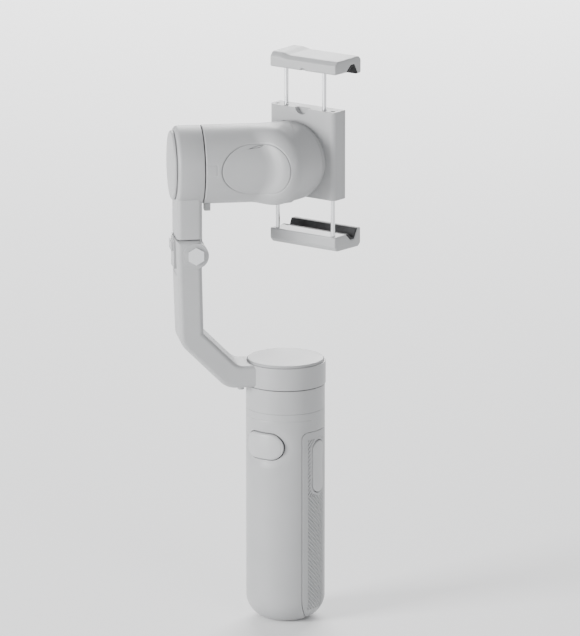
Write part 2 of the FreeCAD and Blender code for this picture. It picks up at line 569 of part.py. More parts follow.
def swept_body(trim):
    """The neck along the tilt axis run into the drum of the roll motor, shrunk all round by trim."""
    neck = rod(("0", "0", "axis_height"), OUTWARD, "tilt_radius - (%s)" % trim, "neck_end - (%s)" % trim)
    front = "-roll_front + (%s)" % trim
    drum = rounded(rod(("0", front, "axis_height"), BACKWARD, "roll_radius - (%s)" % trim,
                       "roll_mouth - (%s)" % front),
                   "roll_round - (%s)" % trim, lambda centre: centre.y < number(front) + 0.01)
    behind = block(("-2 * neck_end", "roll_mouth", "axis_height - neck_end"),
                   ("2 * neck_end", "2 * neck_end", "axis_height + neck_end"))
    return cut(join(neck, drum), behind)


def build_tilt_body():
    solid = swept_body("0")
    facing = Rotation(UP, -67.5).multVec(ACROSS)
    side = facing.cross(UP)
    centre = ("-inlay_shift * %.9f" % side.x, "-inlay_shift * %.9f" % side.y, "axis_height")
    inlay = key_prism(centre, "inlay_length", "inlay_width", "inlay_start", "inlay_end", facing)
    inlay_room = key_prism(centre, "inlay_length + 2 * fit_gap", "inlay_width + 2 * fit_gap",
                           "inlay_start", "inlay_end", facing)
    core = swept_body("skin")
    node("tilt_inlay_cover", cut(common(solid, inlay), swept_body("skin - fit_gap")))
    motor_room = rod(("0", "roll_mouth - motor_floor", "axis_height"), BACKWARD, "motor_bore",
                     "motor_floor + beyond")
    bay = rod(("0", "-roll_bay_end", "axis_height"), BACKWARD, "roll_bay_radius",
              "roll_bay_end - roll_bay_start")
    neck_room = rod(in_arm("neck_cavity_start", "0", "axis_height"), OUTWARD, "neck_cavity",
                    "neck_end - neck_wall - neck_cavity_start")
    hub_hole = rod(in_arm("neck_end - neck_wall - beyond", "0", "axis_height"), OUTWARD, "hub_hole",
                   "neck_wall + 2 * beyond")
    shell = cut(solid, motor_room, bay, neck_room, hub_hole, cut(inlay_room, core))
    boss = rod(("0", "roll_mouth - motor_floor", "axis_height"), BACKWARD, "boss_rim",
               "motor_floor - boss_start")
    bore = rod(("0", "-roll_bay_start - beyond", "axis_height"), BACKWARD, "boss_bore",
               "motor_floor + roll_mouth")
    node("tilt_body_shell", cut(join(shell, boss), bore))
    node("tilt_stop_lug", arm_block(("stop_near", "-stop_half", "axis_height - tilt_radius - stop_drop"),
                                    ("stop_far", "stop_half", "axis_height - tilt_radius")))
    node("sensor_board", block(
        ("-sensor_half", "-roll_bay_end + sensor_back", "axis_height - sensor_half"),
        ("sensor_half", "-roll_bay_end + sensor_back + sensor_thick", "axis_height + sensor_half")))
    build_motor("roll_motor", ("0", "roll_mouth", "axis_height"), -BACKWARD,
                "clamp_front - roll_mouth - fit_gap")


# ---------------------------------------------------------------- clamp

def build_roll_ring():
    axis = ("0", "0", "axis_height")
    rim = turned([("ring_front", "ring_bore"), ("ring_front", "ring_radius"),
                  ("clamp_front", "ring_radius"), ("clamp_front", "ring_bore")], axis, BACKWARD)
    dial = turned([("dial_front", "hub_hole"), ("dial_front", "dial_radius"),
                   ("disc_front", "dial_radius"), ("disc_front", "hub_hole")], axis, BACKWARD)
    ribs = []
    for step in range(1, 14):
        turn = Rotation(BACKWARD, -number("rib_gap_angle + %d * rib_pitch" % step))
        corner = turn.multVec(Vector(number("dial_radius - rib_sink"), 0, -number("rib_width / 2")))
        rib = doc.addObject("Part::Box", "Rib")
        bind(rib, Length="ring_bore - dial_radius + 2 * rib_sink", Width="disc_front - dial_front",
             Height="rib_width")
        place(rib, ("%.6f" % corner.x, "dial_front", "axis_height + (%.6f)" % corner.z), turn)
        ribs.append(rib)
    node("roll_ring", join(rim, dial, *ribs))
    node("roll_disc", turned([("disc_front", "hub_hole"), ("disc_front", "ring_bore - fit_gap"),
                              ("clamp_front", "ring_bore - fit_gap"), ("clamp_front", "hub_hole")],
                             axis, BACKWARD))


def build_clamp():
    left, right = "clamp_side - clamp_width / 2", "clamp_side + clamp_width / 2"
    low, high = "clamp_height - clamp_tall / 2", "clamp_height + clamp_tall / 2"
    plate = rounded(block((left, "clamp_front", low), (right, "clamp_split", high)), "clamp_corner",
                    lambda centre: centre.y < number("clamp_front") + 0.01
                    and abs(centre.z - number("clamp_height")) < 1)
    room = block(("clamp_side - room_half", "clamp_front + room_front", "clamp_height - room_rise"),
                 ("clamp_side + room_half", "clamp_split + beyond", "clamp_height + room_rise"))
    bores = [rod(("clamp_side + %s" % shift, "rod_depth", "%s - beyond" % low), UP, "rod_bore",
                 "clamp_tall + 2 * beyond")
             for shift in ("upper_pitch", "(-upper_pitch)", "lower_pitch", "(-lower_pitch)")]
    notch = rod(("clamp_side", "clamp_front - beyond", "%s + beyond" % high), BACKWARD, "notch_radius",
                "notch_deep")
    node("clamp_plate", cut(plate, room, notch, *bores))
    cover = block((left, "clamp_split + fit_gap", low), (right, "clamp_back", high))
    holes = cover_screws("cover_screw_radius + fit_gap", "clamp_back - clamp_split + beyond")
    node("clamp_back_cover", cut(cover, *holes))
    node("clamp_pad", rounded(
        block(("%s + pad_margin" % left, "clamp_back", "%s + pad_margin" % low),
              ("%s - pad_margin" % right, "pad_back", "%s - pad_margin" % high)),
        "pad_corner", lambda centre: abs(centre.x - number("clamp_side")) > number("cover_screw_side")
        and abs(centre.z - number("clamp_height")) > number("room_rise")))
    node("clamp_springs", group(
        cut(rod(("clamp_side + %d * spring_side" % side, "spring_depth", "clamp_height - spring_half"),
                UP, "spring_radius", "2 * spring_half"),
            rod(("clamp_side + %d * spring_side" % side, "spring_depth", "clamp_height - spring_half"),
                UP, "spring_bore", "2 * spring_half")) for side in (-1, 1)))
    node("cover_screws", group(cover_screws("cover_screw_radius", "cover_screw_length")))


def cover_screws(radius, length):
    """The four screws, or their holes, at the corners of the clamp's back cover."""
    return [rod(("clamp_side + %d * cover_screw_side" % side, "clamp_split + fit_gap",
                 "clamp_height + %d * cover_screw_rise" % level), BACKWARD, radius, length)
            for side in (-1, 1) for level in (-1, 1)]


def jaw_outline(sign):
    """Profile of one jaw across its width, as depth and height; sign is +1 above, -1 below."""
    def level(rise):
        return "clamp_height + %d * (grip_half + (%s))" % (sign, rise)
    return [("jaw_front", level("-jaw_gap")), ("groove_near", level("-jaw_gap")),
            ("groove_mid", level("groove_deep")),
            ("groove_far", level("groove_deep")), ("lip_near", level("-lip_drop")),
            ("jaw_rear", level("-lip_drop")), ("jaw_rear", level("jaw_thick - jaw_slope")),
            ("jaw_rear - jaw_slope", level("jaw_thick")),
            ("jaw_front + jaw_slope", level("jaw_thick - jaw_slope / 2")),
            ("jaw_front", level("jaw_thick - 1.6 * jaw_slope"))]


def pad_outline(sign):
    """Rubber lining that fills the groove's walls to a constant thickness."""
    def level(rise):
        return "clamp_height + %d * (grip_half + (%s))" % (sign, rise)
    return [("groove_near + jaw_gap", level("-jaw_gap")),
            ("groove_mid + fit_gap", level("groove_deep - fit_gap")),
            ("groove_far - fit_gap", level("groove_deep - fit_gap")),
            ("lip_near - jaw_gap", level("-lip_drop")),
            ("lip_near - 1.4 * pad_skin", level("-lip_drop")),
            ("groove_far - pad_skin / 2", level("groove_deep - pad_skin")),
            ("groove_mid + pad_skin / 2", level("groove_deep - pad_skin")),
            ("groove_near + 1.6 * pad_skin", level("-jaw_gap"))]


def build_jaw(name, sign, pitch):
    side = ("clamp_side", "0", "0")
    shape = slab(jaw_outline(sign), "jaw_width", "YZ_Plane", side, Rotation())
    face = "clamp_height + %d * (grip_half - jaw_gap)" % sign
    start = "%s + %d * rod_sink" % (face, sign)
    rods, sockets = [], []
    for shift in (pitch, "(-%s)" % pitch):
        rods.append(rod(("clamp_side + %s" % shift, "rod_depth", start), UP * -sign, "rod_radius",
                        "rod_length"))
        sockets.append(rod(("clamp_side + %s" % shift, "rod_depth", "%s + %d * fit_gap" % (start, sign)),
                           UP * -sign, "rod_radius + fit_gap", "rod_socket"))
    node(name + "_jaw", cut(shape, *sockets))
    node(name + "_jaw_pad", slab(pad_outline(sign), "jaw_width - pad_short", "YZ_Plane", side, Rotation()))
    node(name + "_jaw_rods", group(rods))


# ---------------------------------------------------------------- check and write

def write_nodes():
    doc.recompute()
    bad = [item.Label for item in doc.Objects if "Invalid" in item.State or "Error" in item.State]
    for part in NODES:
        if part.Shape.isNull() or not part.Shape.isValid() or part.Shape.Volume < 0.01:
            bad.append(part.Label)
    if bad:
        raise SystemExit("failed objects: " + ", ".join(sorted(set(bad))))
    os.makedirs("parts", exist_ok=True)
    for part in NODES:
        part.Shape.exportStep("parts/%s.step" % part.Label)
        print("%-20s %d solids %9.1f mm3" % (part.Label, len(part.Shape.Solids), part.Shape.Volume))
    print(len(NODES), "nodes")


build_handle()
build_handle_insides()
build_controls()
build_pan()
build_lower_arm()
build_hinge()
build_upper_arm()
build_tilt_body()
build_roll_ring()
build_clamp()
build_jaw("upper", 1, "upper_pitch")
build_jaw("lower", -1, "lower_pitch")
write_nodes()
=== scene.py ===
"""Looks of a folding three-axis phone stabiliser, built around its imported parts.

Metres, in the parts' frame: +Z up the handle, trigger on -Y, zoom rocker on +X, thumb
controls on +Y.  Lengths in this script are written in millimetres and scaled once, where
a mesh is made.
"""
import json
import math

import bpy
import numpy as np
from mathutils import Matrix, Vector


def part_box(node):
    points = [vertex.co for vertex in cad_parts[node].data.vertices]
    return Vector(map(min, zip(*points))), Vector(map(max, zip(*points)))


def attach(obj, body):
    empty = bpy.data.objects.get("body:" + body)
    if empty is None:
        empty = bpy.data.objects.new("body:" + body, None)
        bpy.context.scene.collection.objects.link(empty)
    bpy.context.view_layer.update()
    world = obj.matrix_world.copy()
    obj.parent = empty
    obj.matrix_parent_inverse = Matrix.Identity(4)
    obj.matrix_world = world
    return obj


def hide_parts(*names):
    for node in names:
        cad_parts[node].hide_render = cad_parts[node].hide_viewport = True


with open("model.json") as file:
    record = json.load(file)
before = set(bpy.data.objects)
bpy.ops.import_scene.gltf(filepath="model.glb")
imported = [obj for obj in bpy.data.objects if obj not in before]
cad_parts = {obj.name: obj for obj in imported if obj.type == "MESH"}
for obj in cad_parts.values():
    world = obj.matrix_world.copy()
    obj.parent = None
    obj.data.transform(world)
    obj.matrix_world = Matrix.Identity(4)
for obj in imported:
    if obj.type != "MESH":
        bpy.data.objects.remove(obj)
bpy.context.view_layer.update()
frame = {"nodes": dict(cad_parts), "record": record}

MM = 0.001
TURN = 2 * math.pi


def low(node):
    """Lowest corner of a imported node, in millimetres."""
    return np.array(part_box(node)[0]) / MM


def high(node):
    """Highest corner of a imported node, in millimetres."""
    return np.array(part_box(node)[1]) / MM


# ------------------------------------------------------------------ camera and stage

VIEW_AZIMUTH = math.radians(36.9)
VIEW_ELEVATION = math.radians(13.8)
VIEW_DISTANCE = 2.9
VIEW_TARGET = Vector((-0.0185, 0.0282, 0.1370))
VIEW_LENS = 345.7


def place_camera():
    """A long lens looking back along the azimuth and elevation at the middle of the frame."""
    back = Vector((math.sin(VIEW_AZIMUTH) * math.cos(VIEW_ELEVATION),
                   -math.cos(VIEW_AZIMUTH) * math.cos(VIEW_ELEVATION), math.sin(VIEW_ELEVATION)))
    camera = bpy.data.objects.new("view_camera", bpy.data.cameras.new("view_camera"))
    camera.data.sensor_width = 36
    camera.data.lens = VIEW_LENS
    camera.data.clip_end = 20
    camera.location = VIEW_TARGET + back * VIEW_DISTANCE
    camera.rotation_euler = back.to_track_quat("Z", "Y").to_euler()
    bpy.context.scene.collection.objects.link(camera)
    bpy.context.scene.camera = camera


place_camera()


def soft_light(name, spot, size, power, aim=(0, 0, 0.13)):
    """A square area lamp at a spot in metres, turned to face the object."""
    lamp = bpy.data.lights.new(name, "AREA")
    lamp.shape = "SQUARE"
    lamp.size = size
    lamp.energy = power
    holder = bpy.data.objects.new(name, lamp)
    holder.location = spot
    holder.rotation_euler = (Vector(spot) - Vector(aim)).to_track_quat("Z", "Y").to_euler()
    bpy.context.scene.collection.objects.link(holder)


# ------------------------------------------------------------------ node helpers

def new_material(name):
    """An empty node material and the shader that ends it."""
    material = bpy.data.materials.new(name)
    material.use_nodes = True
    return material, material.node_tree, material.node_tree.nodes["Principled BSDF"]


def add_node(tree, kind, inputs=None, **settings):
    """A shader node with its settings, and its inputs either linked or set."""
    made = tree.nodes.new(kind)
    for key, value in settings.items():
        setattr(made, key, value)
    for key, value in (inputs or {}).items():
        if isinstance(value, bpy.types.NodeSocket):
            tree.links.new(value, made.inputs[key])
        else:
            made.inputs[key].default_value = value
    return made


def object_point(tree, stretch=(1, 1, 1)):
    """Object coordinates, stretched where a grain runs one way."""
    point = add_node(tree, "ShaderNodeTexCoord").outputs["Object"]
    if stretch == (1, 1, 1):
        return point
    return add_node(tree, "ShaderNodeMapping", {"Vector": point, "Scale": stretch}).outputs["Vector"]


def grain(tree, point, size_mm, detail=3.0, roughness=0.55):
    """Noise whose lumps are about size_mm across."""
    return add_node(tree, "ShaderNodeTexNoise", {
        "Vector": point, "Scale": 1 / (size_mm * MM), "Detail": detail, "Roughness": roughness,
    }).outputs["Fac"]


def spread(tree, value, start, end, low_end=0.3, high_end=0.7):
    """A 0 to 1 pattern mapped onto start to end."""
    return add_node(tree, "ShaderNodeMapRange", {
        "Value": value, "From Min": low_end, "From Max": high_end, "To Min": start, "To Max": end,
    }).outputs["Result"]


def tint(tree, factor, first, second):
    """Colour that goes from first to second as a pattern goes from 0 to 1."""
    mix = add_node(tree, "ShaderNodeMix", data_type="RGBA")
    tree.links.new(factor, mix.inputs["Factor"])
    ends = [socket for socket in mix.inputs if socket.type == "RGBA"]
    ends[0].default_value = (*first, 1)
    ends[1].default_value = (*second, 1)
    return [socket for socket in mix.outputs if socket.type == "RGBA"][0]


def relief(tree, height, depth_mm, strength=1.0, normal=None):
    """Bump from a 0 to 1 pattern that is depth_mm deep."""
    inputs = {"Height": height, "Distance": depth_mm * MM, "Strength": strength}
    if normal is not None:
        inputs["Normal"] = normal
    return add_node(tree, "ShaderNodeBump", inputs).outputs["Normal"]


# ------------------------------------------------------------------ materials

def moulded(name, colour, rough, grain_mm=0.35, depth_mm=0.012, drift=0.035, softened=0.0):
    """Satin moulded plastic: a spark-eroded grain, a slow drift of shade and handling gloss."""
    material, tree, shader = new_material(name)
    point = object_point(tree)
    slow = grain(tree, point, 26, detail=2)
    fine = grain(tree, point, grain_mm, detail=2)
    light = tuple(min(1, c * (1 + drift)) for c in colour)
    dark = tuple(c * (1 - drift) for c in colour)
    tree.links.new(tint(tree, spread(tree, slow, 0, 1), dark, light), shader.inputs["Base Color"])
    worn = add_node(tree, "ShaderNodeMath", {
        0: spread(tree, slow, -0.05, 0.05), 1: spread(tree, fine, -0.04, 0.04)}, operation="ADD").outputs[0]
    tree.links.new(add_node(tree, "ShaderNodeMath", {0: worn, 1: rough}, operation="ADD").outputs[0],
                   shader.inputs["Roughness"])
    edge = None
    if softened:
        edge = add_node(tree, "ShaderNodeBevel", {"Radius": softened * MM}, samples=6).outputs["Normal"]
    tree.links.new(relief(tree, fine, depth_mm, normal=edge), shader.inputs["Normal"])
    shader.inputs["Specular IOR Level"].default_value = 0.45
    return material


def metal(name, colour, rough, stretch=(1, 1, 1), lines_mm=0.25, depth_mm=0.004):
    """Bare metal with fine tool lines; stretch squeezes them along one axis."""
    material, tree, shader = new_material(name)
    lines = grain(tree, object_point(tree, stretch), lines_mm, detail=4)
    smudge = grain(tree, object_point(tree), 9, detail=2)
    tree.links.new(tint(tree, spread(tree, lines, 0, 1), tuple(c * 0.9 for c in colour), colour),
                   shader.inputs["Base Color"])
    tree.links.new(spread(tree, smudge, rough * 0.8, rough * 1.3), shader.inputs["Roughness"])
    tree.links.new(relief(tree, lines, depth_mm), shader.inputs["Normal"])
    shader.inputs["Metallic"].default_value = 1.0
    return material


def rubber(name, colour, rough):
    """Matt rubber: a pebbled skin with dust in its hollows."""
    material, tree, shader = new_material(name)
    point = object_point(tree)
    pebbles = grain(tree, point, 0.5, detail=4)
    dust = grain(tree, point, 6, detail=3)
    tree.links.new(tint(tree, spread(tree, dust, 0, 1), colour, tuple(c * 2.2 + 0.004 for c in colour)),
                   shader.inputs["Base Color"])
    tree.links.new(spread(tree, pebbles, rough - 0.06, rough + 0.08), shader.inputs["Roughness"])
    tree.links.new(relief(tree, pebbles, 0.03), shader.inputs["Normal"])
    shader.inputs["Specular IOR Level"].default_value = 0.35
    return material


def banded(name, base, mark, rough, pitch_mm, direction, depth_mm):
    """A coating with fine parallel bands: windings, board traces or a thread."""
    material, tree, shader = new_material(name)
    point = object_point(tree)
    bands = add_node(tree, "ShaderNodeTexWave", {
        "Vector": point, "Scale": 0.314 / (pitch_mm * MM), "Distortion": 1.2, "Detail": 2.0,
        "Detail Scale": 0.6,
    }, bands_direction=direction).outputs["Fac"]
    tree.links.new(tint(tree, bands, base, mark), shader.inputs["Base Color"])
    smudge = grain(tree, point, 1.5)
    tree.links.new(spread(tree, smudge, rough * 0.85, rough * 1.2), shader.inputs["Roughness"])
    tree.links.new(relief(tree, bands, depth_mm), shader.inputs["Normal"])
    return material, shader


def floor_material():
    """Pale, even studio floor with a trace of grain."""
    material, tree, shader = new_material("studio_floor")
    fine = grain(tree, object_point(tree), 4, detail=2)
    tree.links.new(tint(tree, fine, (0.93, 0.93, 0.93), (0.95, 0.95, 0.95)), shader.inputs["Base Color"])
    shader.inputs["Roughness"].default_value = 0.9
    return material


SHELL = (0.37, 0.374, 0.378)
KEY = (0.42, 0.424, 0.428)
MATERIALS = {
    "shell_grey": moulded("shell_grey", SHELL, 0.43, softened=0.35),
    "panel_grey": moulded("panel_grey", (0.33, 0.334, 0.338), 0.46, softened=0.2),
    "grip_grey": moulded("grip_grey", (0.36, 0.364, 0.368), 0.5, grain_mm=0.5, depth_mm=0.02),
    "key_grey": moulded("key_grey", KEY, 0.36, grain_mm=0.3, depth_mm=0.008, softened=0.2),
    "inner_plastic": moulded("inner_plastic", (0.035, 0.035, 0.04), 0.5),
    "dial_dark": moulded("dial_dark", (0.085, 0.087, 0.092), 0.42, grain_mm=0.6),
    "rubber_black": rubber("rubber_black", (0.014, 0.014, 0.015), 0.68),
    "steel": metal("steel", (0.56, 0.57, 0.58), 0.32, stretch=(1, 1, 12)),
    "polished_steel": metal("polished_steel", (0.84, 0.85, 0.86), 0.13, stretch=(1, 1, 10)),
    "brass": metal("brass", (0.80, 0.60, 0.28), 0.28, stretch=(1, 1, 12)),
}
MATERIALS["winding_copper"], _ = banded(
    "winding_copper", (0.32, 0.11, 0.04), (0.62, 0.27, 0.10), 0.3, 0.7, "Z", 0.12)
MATERIALS["circuit_board"], _ = banded(
    "circuit_board", (0.012, 0.10, 0.045), (0.02, 0.16, 0.075), 0.3, 0.9, "X", 0.02)
MATERIALS["battery_wrap"], _ = banded(
    "battery_wrap", (0.03, 0.10, 0.30), (0.035, 0.12, 0.34), 0.28, 8.0, "Z", 0.01)
MATERIALS["light_guide"], guide_shader = banded(
    "light_guide", (0.80, 0.84, 0.82), (0.88, 0.9, 0.88), 0.2, 0.5, "X", 0.01)
guide_shader.inputs["Transmission Weight"].default_value = 0.35

for part in frame["record"]["subparts"]:
    mesh = frame["nodes"][part["node"]].data
    mesh.materials.clear()
    mesh.materials.append(MATERIALS[part["material_slot"]])


# ------------------------------------------------------------------ surface tools

def grid_faces(rows, columns, loop_rows=False):
    """Quads of a grid whose columns always close; its rows close where loop_rows is set."""
    i, j = np.meshgrid(np.arange(rows if loop_rows else rows - 1), np.arange(columns), indexing="ij")
    after, beside = (i + 1) % rows, (j + 1) % columns
    quads = [i * columns + j, i * columns + beside, after * columns + beside, after * columns + j]
    return np.stack(quads, -1).reshape(-1, 4)


def signed_volume(points, quads):
    """Volume inside the quads, negative where they face inwards."""
    a, b, c, d = (points[quads[:, k]] for k in range(4))
    return float(np.einsum("ij,ij->", a, np.cross(b, c) + np.cross(c, d))) / 6


def skin(name, rings, body, slot, stands_for=(), loop=False, crease=38):
    """A closed piece from rings of points in millimetres, shaped (rings, points, 3).

    Each ring joins the next.  The two end rings are closed by a flat face, or to each
    other where loop is set.  Faces are turned outwards by the sign of the volume.
    """
    rings = np.asarray(rings, float)
    rows, columns = rings.shape[:2]
    points = rings.reshape(-1, 3) * MM
    quads = grid_faces(rows, columns, loop)
    caps = [] if loop else [np.arange(columns)[::-1], np.arange(columns) + (rows - 1) * columns]
    solid = signed_volume(points, quads)
    for cap in caps:
        fan = np.stack([np.full(columns - 2, cap[0]), cap[1:-1], cap[2:], cap[2:]], -1)
        solid += signed_volume(points, fan)
    faces = quads.tolist() + [cap.tolist() for cap in caps]
    if solid < 0:
        faces = [face[::-1] for face in faces]
    mesh = bpy.data.meshes.new(name)
    mesh.from_pydata(points.tolist(), [], faces)
    mesh.update()
    mesh.shade_smooth()
    mesh.set_sharp_from_angle(angle=math.radians(crease))
    mesh.materials.append(MATERIALS[slot])
    piece = bpy.data.objects.new(name, mesh)
    bpy.context.scene.collection.objects.link(piece)
    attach(piece, body)
    if stands_for:
        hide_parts(*stands_for)
    return piece


def rounded_path(corners, closed=True, step=0.35):
    """Points along straight runs joined by arcs; each corner is (x, y, radius).

    An arc starts radius * tan(half the turn) before its corner and ends as far after it.
    """
    count = len(corners)
    spots = np.array([corner[:2] for corner in corners], float)
    points = []
    for index, (x, y, radius) in enumerate(corners):
        here = spots[index]
        if not closed and index in (0, count - 1):
            points.append(here[None])
            continue
        before, after = spots[index - 1] - here, spots[(index + 1) % count] - here
        before, after = before / np.linalg.norm(before), after / np.linalg.norm(after)
        turn = math.pi - math.acos(np.clip(before @ after, -1, 1))
        if radius < 1e-6 or turn < 1e-3:
            points.append(here[None])
            continue
        bisector = (before + after) / np.linalg.norm(before + after)
        centre = here + bisector * radius / math.cos(turn / 2)
        start = here + before * radius * math.tan(turn / 2) - centre
        end = here + after * radius * math.tan(turn / 2) - centre
        sweep = np.linspace(0, 1, max(4, int(radius * turn / step) + 1))[:, None]
        arc = (start * np.sin((1 - sweep) * turn) + end * np.sin(sweep * turn)) / math.sin(turn)
        points.append(centre + arc)
    return np.vstack(points)


def resample(points, count, closed=True):
    """The same outline with count points at even spacing."""
    line = np.vstack([points, points[:1]]) if closed else points
    run = np.concatenate([[0], np.cumsum(np.linalg.norm(np.diff(line, axis=0), axis=1))])
    at = np.linspace(0, run[-1], count + 1)[:-1] if closed else np.linspace(0, run[-1], count)
    return np.stack([np.interp(at, run, line[:, k]) for k in range(line.shape[1])], -1)


def outline_normals(points):
    """Outward unit normals of a closed flat outline."""
    along = np.roll(points, -1, axis=0) - np.roll(points, 1, axis=0)
    normals = np.stack([along[:, 1], -along[:, 0]], -1)
    normals /= np.linalg.norm(normals, axis=1)[:, None]
    area = np.sum(points[:, 0] * np.roll(points[:, 1], -1) - np.roll(points[:, 0], -1) * points[:, 1])
    return normals if area > 0 else -normals


def edge_profile(start, end, edge_start, edge_end, steps=5):
    """(depth, inset) pairs of a slab's side with a quarter round at each end."""
    angles = np.linspace(0, math.pi / 2, steps)
    first = np.stack([start + edge_start * (1 - np.sin(angles)), edge_start * (1 - np.cos(angles))], -1)[::-1]
    last = np.stack([end - edge_end * (1 - np.sin(angles)), edge_end * (1 - np.cos(angles))], -1)
    return np.vstack([first, last])


def slab_rings(outline, profile, lift):
    """Rings of an outline carried through (depth, inset) pairs; lift turns (x, y, depth) into space."""
    normals = outline_normals(outline)
    rings = [lift(*(outline - normals * inset).T, depth) for depth, inset in profile]
    return np.array(rings)


def turned_rings(profile, lift, points=120):
    """A profile of (depth, radius) pairs turned about the depth axis."""
    angles = np.linspace(0, TURN, points, endpoint=False)
    return np.array([lift(radius * np.cos(angles), radius * np.sin(angles), depth)
                     for depth, radius in profile])


def stack(x, y, z):
    """Three coordinates, arrays or numbers, as points."""
    return np.stack(np.broadcast_arrays(np.asarray(x, float), np.asarray(y, float), np.asarray(z, float)), -1)


def bent_profile(corners, step=0.15):
    """A (depth, radius) profile with rounded corners, open at both ends."""
    return rounded_path(corners, closed=False, step=step)


# ------------------------------------------------------------------ directions

DIAGONAL = math.sqrt(0.5)
AXIS_HEIGHT = (low("tilt_end_cap")[2] + high("tilt_end_cap")[2]) / 2
HINGE_HEIGHT = (low("hinge_pin")[2] + high("hinge_pin")[2]) / 2
HINGE_REACH = 43.6


def in_arm(reach, side, height):
    """Points of the arm's frame: reach out along the arm's plane, side across it, and height."""
    return stack(-DIAGONAL * (reach - side), -DIAGONAL * (reach + side), height)


def upright(x, y, depth):
    return stack(x, y, depth)


def along_tilt(x, y, depth):
    return in_arm(depth + 0 * x, x, AXIS_HEIGHT + y)


def along_roll(x, y, depth):
    return stack(x, depth, AXIS_HEIGHT + y)


def along_hinge(x, y, depth):
    return in_arm(x, depth + 0 * x, y)


def smooth_step(value, start, end):
    """0 below start and 1 above end, with a smooth cubic between."""
    t = np.clip((value - start) / (end - start), 0, 1)
    return t * t * (3 - 2 * t)


def rounded_drop(distance, radius):
    """How far a surface falls over a rounded edge, at a distance in from that edge."""
    t = np.clip(1 - distance / radius, 0, 1)
    return radius * (1 - np.sqrt(1 - t * t))


def stadium_distance(u, w, half_length, radius):
    """Distance outside a round-ended bar that lies along u; negative inside."""
    return np.hypot(np.maximum(np.abs(u) - (half_length - radius), 0), w) - radius


def stadium(half_length, radius, count=160):
    """Outline of a round-ended bar along u."""
    straight = half_length - radius
    corners = [(-straight - radius, -radius, radius * 0.999), (straight + radius, -radius, radius * 0.999),
               (straight + radius, radius, radius * 0.999), (-straight - radius, radius, radius * 0.999)]
    return resample(rounded_path(corners, step=0.1), count)


# ------------------------------------------------------------------ body between tilt and roll

NECK_RADIUS = 18.4
NECK_END = 39.5
DRUM_RADIUS = 18.6
DRUM_MOUTH = 4.4
DRUM_FACE = 18.7
DRUM_ROUND = 8.0
BLEND = 2.6
INLAY_ANGLE = math.radians(-67.5)
INLAY_CENTRE = -7.2
INLAY_HALF = 15.4
INLAY_RADIUS = 11.85
INLAY_GAP = 0.16


def body_distance(points):
    """Distance to the neck's cylinder run smoothly into the roll drum, cut flat at its mouth.

    Neck: radius from the tilt axis less its own.  Drum: the same from the roll axis, with
    its front edge a quarter circle.  The nearer of the two counts, less a bump where both
    are equally near, so that the crease between them is soft.
    """
    x, y, z = points[..., 0], points[..., 1], points[..., 2] - AXIS_HEIGHT
    reach, side = -(x + y) * DIAGONAL, (x - y) * DIAGONAL
    neck = np.maximum(np.hypot(side, z) - NECK_RADIUS, -reach - 1)
    out, front = np.hypot(x, z) - (DRUM_RADIUS - DRUM_ROUND), -y - (DRUM_FACE - DRUM_ROUND)
    corner = np.hypot(np.maximum(out, 0), np.maximum(front, 0))
    drum = np.minimum(np.maximum(out, front), 0) + corner - DRUM_ROUND
    share = np.clip(0.5 + 0.5 * (drum - neck) / BLEND, 0, 1)
    joined = drum * (1 - share) + neck * share - BLEND * share * (1 - share)
    return np.maximum(joined, y - DRUM_MOUTH)


def cast(start, direction, far=46.0):
    """Distance along each ray to the body's surface, by halving from inside to outside."""
    near_end = np.zeros(start.shape[:-1])
    far_end = np.full(start.shape[:-1], far)
    for _ in range(22):
        middle = (near_end + far_end) / 2
        inside = body_distance(start + direction * middle[..., None]) < 0
        near_end, far_end = np.where(inside, middle, near_end), np.where(inside, far_end, middle)
    return (near_end + far_end) / 2


INLAY_FACING = np.array([math.cos(INLAY_ANGLE), math.sin(INLAY_ANGLE), 0])
INLAY_ALONG = np.array([-math.sin(INLAY_ANGLE), math.cos(INLAY_ANGLE), 0])


